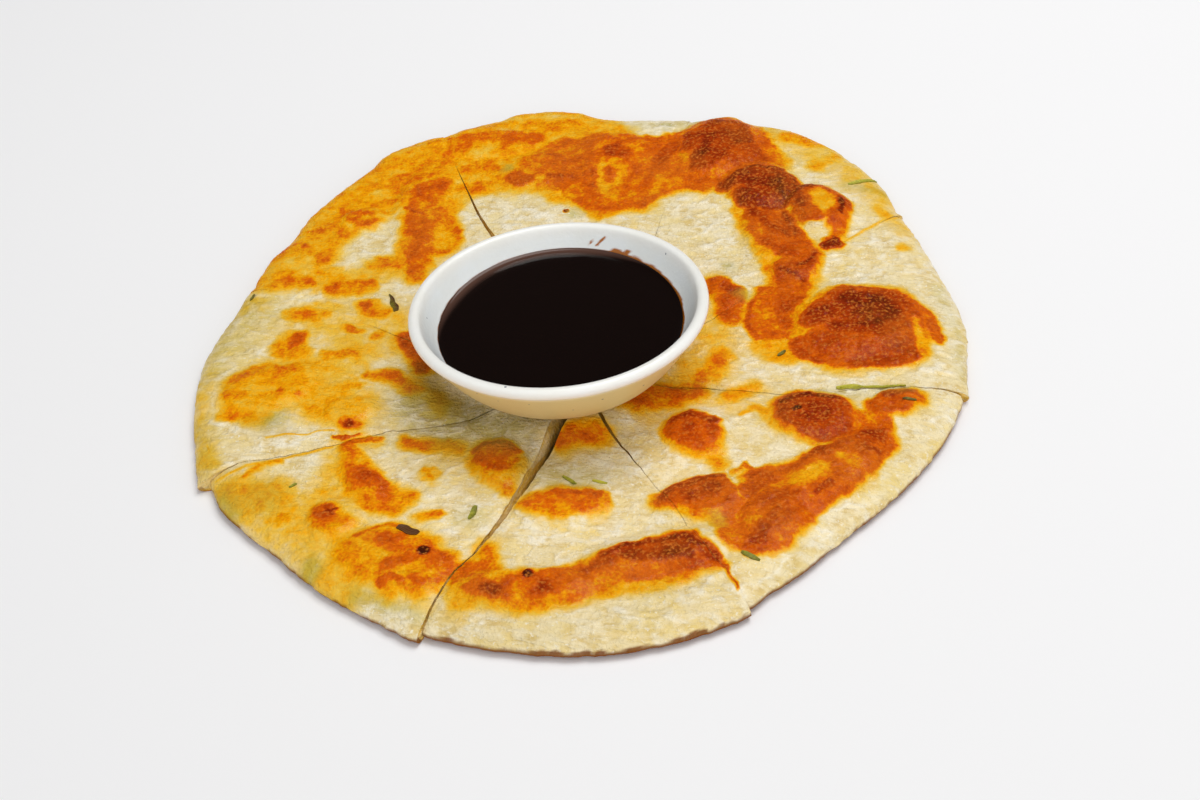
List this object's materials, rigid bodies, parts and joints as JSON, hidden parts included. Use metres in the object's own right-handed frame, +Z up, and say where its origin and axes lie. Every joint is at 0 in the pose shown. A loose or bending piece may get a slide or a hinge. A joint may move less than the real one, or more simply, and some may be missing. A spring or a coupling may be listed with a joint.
{
  "type": "scallion pancake",
  "caption": "Round pan-fried scallion pancake cut into wedges that keep its shape, with a small round dip bowl of dark sauce standing on its middle.",
  "frame": {"origin": "on the surface that the pancake lies on, under the middle of its outline's box", "axes": "+Z up; -Y the front, where the camera of the picture stood; +X to the right seen from the front"},
  "size_m": [0.2124, 0.2304, 0.0314],
  "materials": {
    "fried_dough": "pan-fried dough, pale cream skin with orange to dark brown blisters, thin oil sheen",
    "bowl_glaze": "glossy off-white glaze with a few fine blue-grey specks",
    "dip_sauce": "glossy, near-black brown liquid"
  },
  "bodies": {
    "root": {"slice_1": "fried_dough", "slice_2": "fried_dough", "slice_3": "fried_dough", "slice_4": "fried_dough", "slice_5": "fried_dough", "slice_6": "fried_dough", "slice_7": "fried_dough", "slice_8": "fried_dough", "dip_bowl": "bowl_glaze", "dip_sauce": "dip_sauce"}
  },
  "joints": []
}
